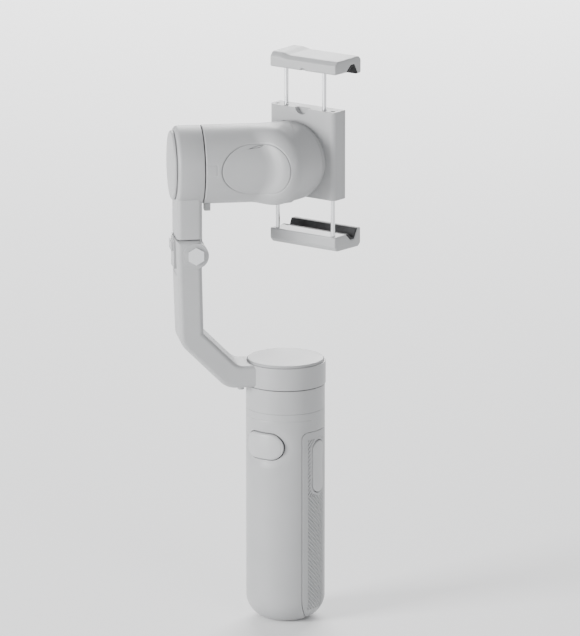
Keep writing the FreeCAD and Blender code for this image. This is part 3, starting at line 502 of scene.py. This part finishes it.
def build_body_shell():
    """Sections across the neck, then a fan of them about the upright line where the two
    axes meet, then sections across the drum; every ray from the middle ends on the body.

    The inlay's seat is let in 0.6, and a fine groove runs round the alignment mark.
    """
    across = np.linspace(0, TURN, 360, endpoint=False)
    end_round = 0.5
    reaches = np.concatenate([NECK_END - end_round * (1 - np.cos(np.linspace(0, math.pi / 2, 5))),
                              np.linspace(NECK_END - 0.8, 0, 128)])
    fan = np.linspace(-math.pi / 4, 0, 46)[1:]
    depths = np.linspace(0, DRUM_MOUTH, 12)[1:]
    centres = np.vstack([in_arm(reaches, 0, AXIS_HEIGHT), stack(0 * fan, 0 * fan, AXIS_HEIGHT),
                         stack(0 * depths, depths, AXIS_HEIGHT)])
    headings = np.concatenate([np.full(len(reaches), -math.pi / 4), fan, 0 * depths])
    level = stack(np.cos(headings), np.sin(headings), 0)
    upwards = np.array([0, 0, 1.0]) * np.sin(across)[None, :, None]
    direction = level[:, None] * np.cos(across)[None, :, None] + upwards
    start = np.broadcast_to(centres[:, None], direction.shape)
    distance = cast(start, direction)
    points = start + direction * distance[..., None]
    u, w = points @ INLAY_ALONG - INLAY_CENTRE, points[..., 2] - AXIS_HEIGHT
    facing = direction @ INLAY_FACING > 0
    seat = 0.6 * (1 - smooth_step(stadium_distance(u, w, INLAY_HALF, INLAY_RADIUS), 0.05, 0.32)) * facing
    reach = -(points[..., 0] + points[..., 1]) * DIAGONAL
    mark_u, mark_w = np.abs(reach - 38.6) - 3.6, np.abs(w - 0.4) - 2.0
    mark = np.hypot(np.maximum(mark_u, 0), np.maximum(mark_w, 0))
    mark = mark + np.minimum(np.maximum(mark_u, mark_w), 0) - 0.8
    groove = 0.2 * np.exp(-(mark / 0.3) ** 2) * (np.cos(across) > 0.5)[None]
    past_neck = np.zeros(len(centres) - len(reaches))
    drop = rounded_drop(NECK_END - np.concatenate([reaches, past_neck]), end_round)
    points = start + direction * (distance - seat - groove - drop[:, None])[..., None]
    skin("tilt_body_shell_surface", points, "tilt_body", "shell_grey", ["tilt_body_shell"], crease=50)


def build_inlay():
    """Round-ended outlines laid on the body's surface.

    The first few carry the rim, which falls away in a quarter round; the rest shrink to the middle.
    """
    rims = [(0, 1, 0.58), (0, 1, 0.22), (0.03, 1, 0.1), (0.1, 1, 0.03), (0.22, 1, 0)]
    rims += [(0.22, scale, 0) for scale in np.linspace(0.97, 0.01, 30)]
    rings = []
    for inset, scale, sink in rims:
        outline = stadium(INLAY_HALF - INLAY_GAP - inset, INLAY_RADIUS - INLAY_GAP - inset, 200) * scale
        start = (INLAY_CENTRE + outline[:, :1]) * INLAY_ALONG + stack(0, 0, AXIS_HEIGHT + outline[:, 1])
        facing = np.broadcast_to(INLAY_FACING, start.shape)
        rings.append(start + facing * (cast(start, facing) - sink)[:, None])
    skin("tilt_inlay", rings, "tilt_body", "shell_grey", ["tilt_inlay_cover"])


# ------------------------------------------------------------------ roll ring

RING_OUTER = 17.6
RING_BORE = 16.4
DIAL_RADIUS = 12.6
RIB_STEPS = 14
RIB_GAP_ANGLE = 85.0
DOT_CIRCLE = 14.7


def build_roll_ring():
    """A rounded rim, a dished hub and thirteen ribs between them; three dots fill the gap."""
    front, back = low("roll_ring")[1], high("roll_disc")[1]
    rim = [(back, RING_BORE), (front + 0.5, RING_BORE), (front + 0.15, RING_BORE + 0.12),
           (front, RING_BORE + 0.4), (front, RING_OUTER - 0.45), (front + 0.15, RING_OUTER - 0.12),
           (front + 0.5, RING_OUTER), (back, RING_OUTER)]
    skin("roll_ring_rim", turned_rings(rim, along_roll, 200), "clamp", "shell_grey", ["roll_ring"], loop=True)
    hub = [(back - 0.7, 7.0), (front + 0.3, 7.0), (front + 0.3, DIAL_RADIUS - 0.3),
           (front + 0.6, DIAL_RADIUS), (back - 0.7, DIAL_RADIUS)]
    skin("roll_ring_hub", turned_rings(hub, along_roll), "clamp", "dial_dark", loop=True)
    inner, outer, half = DIAL_RADIUS - 0.5, RING_BORE + 0.3, 0.42
    corners = [(inner, -half, 0.1), (outer, -half, 0.1), (outer, half, 0.1), (inner, half, 0.1)]
    outline = resample(rounded_path(corners, step=0.08), 36)
    profile = edge_profile(front + 0.25, back - 0.5, 0.2, 0.05, 4)
    for step in range(1, RIB_STEPS):
        turn = math.radians(RIB_GAP_ANGLE) + step * TURN / RIB_STEPS
        cosine, sine = math.cos(turn), math.sin(turn)

        def set_out(x, y, depth):
            return along_roll(x * cosine - y * sine, x * sine + y * cosine, depth)

        skin("roll_rib_%02d" % step, slab_rings(outline, profile, set_out), "clamp", "shell_grey")
    dot = [(back - 0.62, 0.05), (back - 0.78, 0.2), (back - 0.8, 0.42), (back - 0.7, 0.52),
           (back - 0.3, 0.55)]
    for index, offset in enumerate((-6.5, 0, 6.5)):
        turn = math.radians(RIB_GAP_ANGLE + offset)

        def dot_place(x, y, depth):
            return along_roll(x + DOT_CIRCLE * math.cos(turn), y + DOT_CIRCLE * math.sin(turn), depth)

        skin("roll_dot_%d" % (index + 1), turned_rings(dot, dot_place, 24), "clamp", "inner_plastic")


# ------------------------------------------------------------------ handle

GRIP_RADIUS = 18.6
GRIP_TOP = 103.0
GRIP_ROUND = 11.5
PANEL_HALF = math.radians(28) * GRIP_RADIUS
PANEL_LOW, PANEL_HIGH = 1.6, 93.5
PANEL_GAP = 0.12
PANEL_DEEP = 1.0
TRIGGER_HEIGHT = 87.0
TRIGGER_HALF, TRIGGER_END = 10.5, 6.25
ROCKER_HEIGHT, ROCKER_SHIFT = 76.2, 1.2
ROCKER_HALF, ROCKER_END = 12.5, 4.15
TRIGGER_CROWN, TRIGGER_ROOT = 19.3, 16.3
ROCKER_CROWN, ROCKER_ROOT = 19.1, 16.2
KEY_GAP = 0.35
COLLAR_LINE = 99.5
CONSOLE_HALF = math.radians(25) * GRIP_RADIUS
CONSOLE_LOW, CONSOLE_HIGH = 65.0, 98.0
PORT_HEIGHT = 86.0
MODE_HEIGHT = 74.0
STICK_HEIGHT = 88.0


def grip_radius(height):
    """Radius of the handle: a quarter round at the foot and straight above it."""
    rise = np.clip(GRIP_ROUND - height, 0, GRIP_ROUND)
    return GRIP_RADIUS - GRIP_ROUND + np.sqrt(GRIP_ROUND ** 2 - rise ** 2)


def panel_half_width(height):
    """Half the side panel's width: a half ellipse at the foot and rounded corners at the top."""
    foot = np.clip((12.0 - height) / (12.0 - PANEL_LOW), 0, 1)
    corner = np.clip(height - (PANEL_HIGH - 3.2), 0, 3.2)
    return PANEL_HALF * np.sqrt(1 - foot ** 2) - 3.2 + np.sqrt(3.2 ** 2 - corner ** 2)


def shell_sink(angle, height):
    """How far the handle's skin lies under the plain grip.

    It adds up the seats of the panels, the wells of the keys, stick and port, the dish round
    the trigger and the fine line below the collar.
    """
    side = angle - math.pi * np.round(angle / math.pi)
    width = panel_half_width(height)
    edge = np.maximum(np.abs(side) * GRIP_RADIUS - width, np.maximum(height - PANEL_HIGH, PANEL_LOW - height))
    sink = PANEL_DEEP * (1 - smooth_step(edge, PANEL_GAP, PANEL_GAP + 0.1))
    sink = sink + 0.12 * np.exp(-(np.maximum(edge, 0) / 0.35) ** 2)
    x, y = GRIP_RADIUS * np.cos(angle), GRIP_RADIUS * np.sin(angle)
    trigger = stadium_distance(x, height - TRIGGER_HEIGHT, TRIGGER_HALF + KEY_GAP, TRIGGER_END + KEY_GAP)
    front = y < 0
    dish = 0.75 * np.exp(-(np.maximum(trigger, 0) / 2.6) ** 2)
    lip = rounded_drop(np.maximum(trigger, 0), 0.35)
    well = 2.9 * (1 - smooth_step(trigger, -0.12, 0.0))
    sink = sink + front * (dish + lip + well)
    rocker = stadium_distance(height - ROCKER_HEIGHT, y - ROCKER_SHIFT, ROCKER_HALF + 0.8, ROCKER_END + 0.8)
    sink = sink + 2.6 * (1 - smooth_step(rocker, -0.1, 0.1)) * (x > 0)
    lit = smooth_step(-np.sin(angle + math.radians(11)), 0, 0.02)
    line = 0.16 * np.exp(-((height - COLLAR_LINE) / 0.16) ** 2) * lit
    console = np.maximum(np.abs(angle - math.pi / 2) * GRIP_RADIUS - CONSOLE_HALF,
                         np.maximum(CONSOLE_LOW - height, height - CONSOLE_HIGH))
    port = stadium_distance(y, height - PORT_HEIGHT, 4.8, 1.85)
    sink = sink + 2.6 * (1 - smooth_step(port, -0.1, 0.1)) * (x < 0)
    mode = np.hypot(x, height - MODE_HEIGHT) - 3.6
    sink = sink + 3.1 * (1 - smooth_step(mode, -0.1, 0.1)) * (y > 0)
    stick = 5.4 * (1 - smooth_step(stick_distance(angle, height), -0.1, 0.1))
    return sink + stick + line * front + 1.1 * (1 - smooth_step(console, 0.1, 0.2)) * (y > 0)


def stick_distance(angle, height):
    """Distance outside the round opening of the thumb stick, on the rear of the handle."""
    x, y = GRIP_RADIUS * np.cos(angle), GRIP_RADIUS * np.sin(angle)
    return np.where(y > 0, np.hypot(x, height - STICK_HEIGHT) - 5.3, 20.0)


def build_grip_shell(name, start_angle, end_angle, node):
    """Half of the handle: foot, dome and wall carried round half a turn and sunk by shell_sink.

    The wall's inner face is plain but for a pocket behind the thumb stick.
    """
    step = 0.27 / GRIP_RADIUS
    marks = [math.radians(m) for m in (-152, -28, 28, 152)]
    angles = np.arange(start_angle, end_angle + step / 2, step)
    angles = np.unique(np.concatenate([angles[:-1], [end_angle]] + [
        [m + d for d in (-0.012, -0.0065, 0.0065, 0.012)] for m in marks if start_angle < m < end_angle]))
    dome = GRIP_ROUND - GRIP_ROUND * np.cos(np.linspace(0.02, math.pi / 2, 48))
    wall = np.arange(GRIP_ROUND + 0.3, GRIP_TOP - 0.3, 0.31)
    heights = np.concatenate([dome, wall, GRIP_TOP - np.array([0.3, 0.12, 0.0])])
    heights = np.unique(np.round(np.concatenate([heights, [PANEL_HIGH + 0.12, PANEL_HIGH + 0.22]]), 4))
    outer = grip_radius(heights)[None] - shell_sink(angles[:, None], heights[None])
    outer -= rounded_drop(GRIP_TOP - heights, 0.3)[None]
    foot_radii, foot_heights = np.array([5.0, 5.0, 5.25]), np.array([9.5, 0.3, 0.0])
    rows = len(angles)
    inner_heights = heights[heights > GRIP_ROUND + 1][::-1]
    pocket = 2.2 * (1 - smooth_step(stick_distance(angles[:, None], inner_heights[None]), 0.5, 0.9))
    inner = GRIP_RADIUS - 4.6 - pocket
    base_radii, base_heights = np.array([10.0, 7.0]), np.array([6.0, 9.5])
    radii = np.hstack([np.tile(foot_radii, (rows, 1)), outer, inner, np.tile(base_radii, (rows, 1))])
    levels = np.tile(np.concatenate([foot_heights, heights, inner_heights, base_heights]), (rows, 1))
    rings = stack(radii * np.cos(angles)[:, None], radii * np.sin(angles)[:, None], levels)
    skin(name, rings, "handle", "shell_grey", [node], crease=45)


GROOVE_PITCH = 1.32
GROOVE_FIELD = 6.0


def grip_grooves(side, height, slot):
    """Depth of the slanted grooves: one slant below the rocker, the other beside and above it.

    side is the distance round the handle from the panel's middle; slot is the distance
    outside the rocker's hole.
    """
    upper = smooth_step(height, 62.0, 62.4)
    below = (height + side) / math.sqrt(2)
    above = (height - side * 1.15) / math.sqrt(2.3)
    phase = np.where(upper > 0.5, above, below) / GROOVE_PITCH
    wave = 0.5 + 0.5 * np.cos(TURN * phase)
    cut = smooth_step(wave, 0.42, 0.78)
    field = smooth_step(GROOVE_FIELD - np.abs(side), 0, 0.35) * smooth_step(slot, 1.1, 1.4)
    field = field * smooth_step(height, 6.5, 7.0) * smooth_step(PANEL_HIGH - 3.4 - height, 0, 0.4)
    return 0.55 * cut * field


def build_grip_panel(name, middle, node, hole):
    """The side panel: rows up the handle, each as wide as the panel there, with the rim rounded over.

    hole gives the distance outside the panel's opening from (side, height).
    """
    foot = PANEL_LOW + 10.4 * (1 - np.cos(np.linspace(0.12, math.pi / 2, 60)))
    top = PANEL_HIGH - 3.2 + 3.2 * np.sin(np.linspace(0, math.pi / 2 - 0.12, 24))
    heights = np.concatenate([foot, np.arange(12.2, PANEL_HIGH - 3.3, 0.165), top])
    share = np.concatenate([[-1, -0.985, -0.965], np.linspace(-0.945, 0.945, 108), [0.965, 0.985, 1]])
    width = panel_half_width(heights)
    side = share[None] * width[:, None]
    level = np.broadcast_to(heights[:, None], side.shape)
    ends = np.minimum(level - PANEL_LOW, PANEL_HIGH - level) + 0.05
    border = np.minimum(width[:, None] - np.abs(side), ends)
    opening = hole(side, level)
    well = 3.4 * (1 - smooth_step(opening, -0.1, 0.0)) + rounded_drop(np.maximum(opening, 0), 0.4)
    outer = grip_radius(level) - rounded_drop(border, 0.3) - grip_grooves(side, level, opening) - well
    angle = middle + side / GRIP_RADIUS
    face = stack(outer * np.cos(angle), outer * np.sin(angle), level)
    back_share = share[::-4]
    sunk = 1 - smooth_step(hole(side[:, ::-4], level[:, ::-4]), -0.1, 0.4)
    inner = grip_radius(level[:, ::-4]) - 0.9 - 3.2 * sunk
    back_angle = middle + back_share[None] * width[:, None] / GRIP_RADIUS
    back = stack(inner * np.cos(back_angle), inner * np.sin(back_angle), level[:, ::-4])
    skin(name, np.concatenate([face, back], axis=1), "handle", "grip_grey", [node], crease=50)


def rocker_hole(side, height):
    return stadium_distance(height - ROCKER_HEIGHT, side - ROCKER_SHIFT,
                            ROCKER_HALF + KEY_GAP, ROCKER_END + KEY_GAP)


def port_hole(side, height):
    return stadium_distance(side, height - PORT_HEIGHT, 4.7, 1.75)


def crowned_key(name, outline_at, sizes, crown, root, body, slot, node, pillow=0.18, edge=0.7):
    """A push key: round-ended outlines rise from the root, turn over a rounded edge and close over the crown.

    sizes is (half length, end radius); outline_at(u, w, out) sets a point at a distance out
    along the key's travel; crown(u, w) is how far out the key's face is.
    """
    half, end = sizes
    turns = np.linspace(0, math.pi / 2, 7)
    steps = [(edge * (1 - math.cos(turn)), 1, edge * (1 - math.sin(turn))) for turn in turns]
    steps += [(edge, scale, 0) for scale in np.linspace(1, 0.01, 14)[1:]]
    rings = []
    for inset, scale, drop in steps:
        line = stadium(half - inset, end - inset, 160) * scale
        face = crown(line[:, 0], line[:, 1]) - pillow * (scale * (1 - inset / end)) ** 2
        rings.append(outline_at(line[:, 0], line[:, 1], face - drop))
    foot = stadium(half, end, 160)
    rings.insert(0, outline_at(foot[:, 0], foot[:, 1], np.full(len(foot), float(root))))
    skin(name, rings, body, slot, [node])


def build_keys():
    """Trigger on the front, rocker on the right; both faces follow the handle, a little proud of it."""
    def trigger_at(u, w, out):
        return stack(u, -out, TRIGGER_HEIGHT + w)

    def rocker_at(u, w, out):
        return stack(out, ROCKER_SHIFT + w, ROCKER_HEIGHT + u)

    def trigger_crown(u, w):
        return np.sqrt(TRIGGER_CROWN ** 2 - u ** 2) - 0.006 * w ** 2

    def rocker_crown(u, w):
        dip = 0.25 * np.cos(u / ROCKER_HALF * math.pi / 2) ** 2
        return np.sqrt(ROCKER_CROWN ** 2 - (w + ROCKER_SHIFT) ** 2) - dip

    crowned_key("trigger_face", trigger_at, (TRIGGER_HALF, TRIGGER_END), trigger_crown, TRIGGER_ROOT,
                "trigger", "key_grey", "trigger_button", pillow=0.3, edge=0.9)
    crowned_key("rocker_face", rocker_at, (ROCKER_HALF, ROCKER_END), rocker_crown, ROCKER_ROOT,
                "rocker", "key_grey", "zoom_rocker", pillow=0.1, edge=0.6)


# ------------------------------------------------------------------ upper arm and tilt housing

HOUSING_MOUTH, HOUSING_BACK = 40.0, 52.4
HOUSING_RADIUS, HOUSING_BORE, HOUSING_FLOOR = 18.35, 15.7, 50.3
BAR_INNER, BAR_OUTER, BAR_LOW = 40.35, 52.15, 186.95
BAR_HALF, BAR_ROUND, BAR_SADDLE = 11.0, 2.2, 17.0
CAP_RADIUS, CAP_FACE = 16.2, 54.1


def build_upper_arm():
    """A cup turned about the tilt axis, a bar that runs up into it, and the eye that the fold pin carries."""
    def at_hinge(x, y, depth):
        return along_hinge(HINGE_REACH + x, HINGE_HEIGHT + y, depth)

    cup = rounded_path([(HOUSING_MOUTH, HOUSING_BORE, 0.2), (HOUSING_MOUTH, HOUSING_RADIUS, 0.35),
                        (HOUSING_BACK, HOUSING_RADIUS, 2.0), (HOUSING_BACK, 4.2, 0.2),
                        (HOUSING_FLOOR, 4.2, 0.2), (HOUSING_FLOOR, HOUSING_BORE, 0.2)], step=0.2)
    skin("tilt_housing", turned_rings(cup, along_tilt, 200), "upper_arm", "shell_grey",
         ["upper_arm"], loop=True)
    edges = edge_profile(-BAR_HALF, BAR_HALF, BAR_ROUND, BAR_ROUND, 8)
    middle = np.stack([np.linspace(-8.0, 8.0, 24), np.zeros(24)], -1)
    rings = []
    for side, inset in np.vstack([edges[:8], middle, edges[8:]]):
        top = AXIS_HEIGHT - math.sqrt(BAR_SADDLE ** 2 - side ** 2)
        near, far = BAR_INNER + inset, BAR_OUTER - inset
        rings.append(in_arm(np.array([near, far, far, near]), side, np.array([BAR_LOW, BAR_LOW, top, top])))
    skin("upper_arm_bar", rings, "upper_arm", "shell_grey")
    eye = rounded_path([(-4.85, 2.7, 0.1), (4.85, 2.7, 0.1), (4.85, 5.75, 0.4), (-4.85, 5.75, 0.4)], step=0.1)
    skin("fold_eye", turned_rings(eye, at_hinge, 96), "upper_arm", "shell_grey", loop=True)
    corners = [(39.7, -4.8, 0.5), (47.3, -4.8, 0.5), (47.3, 4.8, 0.5), (39.7, 4.8, 0.5)]
    neck = resample(rounded_path(corners), 80)
    skin("fold_neck", slab_rings(neck, [(182.1, 0), (187.8, 0)], in_arm), "upper_arm", "shell_grey")
    cap = bent_profile([(52.43, 0.1, 0), (52.43, 15.6, 0), (52.85, 15.6, 0), (52.85, CAP_RADIUS, 0.1),
                        (CAP_FACE, CAP_RADIUS, 1.0), (CAP_FACE, 0.1, 0)])
    skin("tilt_cap", turned_rings(cap, along_tilt, 200), "upper_arm", "shell_grey", ["tilt_end_cap"])


# ------------------------------------------------------------------ jaws

JAW_SIDE = 3.8
JAW_MIDDLE = 224.0
JAW_FACE = 38.7
JAW_HALF = 19.0


def build_jaw(name, sign):
    """A moulded profile carried across the phone, its ends rounded over, and the rubber in its groove.

    On the upper jaw the top is a little higher at its left end, and a small notch is cut in
    the middle of the front lower edge.
    """
    def across(x, y, depth):
        return stack(JAW_SIDE + depth, x, JAW_MIDDLE + sign * (JAW_FACE + y))

    corners = [(8.2, -0.1, 0.7), (17.0, -0.1, 0.3), (20.6, 3.0, 0.4), (23.4, 3.0, 0.4), (26.2, -1.9, 0.6),
               (28.4, -1.9, 0.9), (28.4, 5.6, 1.6), (26.8, 7.2, 1.6), (10.0, 6.9, 2.0), (8.2, 4.8, 2.0)]
    profile = resample(rounded_path(corners, step=0.15), 260)
    ends = edge_profile(-JAW_HALF, JAW_HALF, 0.6, 0.6, 6)
    middle = np.stack([np.linspace(-JAW_HALF + 0.8, JAW_HALF - 0.8, 90), np.zeros(90)], -1)
    rings = slab_rings(profile, np.vstack([ends[:6], middle, ends[6:]]), across)
    if sign > 0:
        x, y, z = rings[..., 0] - JAW_SIDE, rings[..., 1], rings[..., 2]
        top = smooth_step(z, JAW_MIDDLE + JAW_FACE + 2.5, JAW_MIDDLE + JAW_FACE + 6.5)
        fall = 0.9 * top * smooth_step(x, -14.0, -8.5)
        notch = 0.9 * (1 - smooth_step(np.abs(x), 1.0, 1.3)) * (1 - smooth_step(y, 9.0, 9.5))
        notch = notch * (1 - smooth_step(z, JAW_MIDDLE + JAW_FACE, JAW_MIDDLE + JAW_FACE + 1.6))
        rings[..., 2] += notch - fall
    skin(name + "_jaw_surface", rings, name + "_jaw", "shell_grey", [name + "_jaw"])
    lining = [(17.1, -0.12, 0.05), (20.65, 2.95, 0.3), (23.35, 2.95, 0.3), (26.1, -1.85, 0.05),
              (24.6, -1.85, 0.2), (22.9, 1.9, 0.4), (21.2, 1.9, 0.4), (18.8, -0.12, 0.2)]
    rubber_rings = slab_rings(resample(rounded_path(lining, step=0.1), 120),
                              edge_profile(-JAW_HALF + 0.2, JAW_HALF - 0.2, 0.12, 0.12, 3), across)
    skin(name + "_jaw_lining", rubber_rings, name + "_jaw", "rubber_black", [name + "_jaw_pad"])


build_body_shell()
build_inlay()
build_upper_arm()
build_jaw("upper", 1)
build_jaw("lower", -1)
build_roll_ring()
build_grip_shell("grip_front_skin", -math.pi, 0, "handle_front_shell")
build_grip_shell("grip_rear_skin", 0, math.pi, "handle_rear_shell")
build_grip_panel("grip_panel_right_skin", 0.0, "grip_panel_right", rocker_hole)
build_grip_panel("grip_panel_left_skin", math.pi, "grip_panel_left", port_hole)
build_keys()


# ------------------------------------------------------------------ stage and finish

def build_stage():
    """A wide pale floor under the handle, soft lamps and a pale surround."""
    half = 6.0
    mesh = bpy.data.meshes.new("floor")
    mesh.from_pydata([(-half, -half, 0), (half, -half, 0), (half, half, 0), (-half, half, 0)],
                     [], [(0, 1, 2, 3)])
    mesh.materials.append(floor_material())
    floor = bpy.data.objects.new("floor", mesh)
    bpy.context.scene.collection.objects.link(floor)
    soft_light("left_softbox", (-0.8, -1.8, 0.6), 0.8, 64)
    soft_light("right_softbox", (1.6, -0.7, 0.4), 0.5, 7)
    soft_light("floor_wash", (-1.2, 2.0, 1.3), 1.8, 110, aim=(-0.7, 1.1, 0))
    world = bpy.data.worlds.new("studio")
    world.use_nodes = True
    world.node_tree.nodes["Background"].inputs["Color"].default_value = (0.92, 0.93, 0.95, 1)
    world.node_tree.nodes["Background"].inputs["Strength"].default_value = 0.65
    bpy.context.scene.world = world


build_stage()
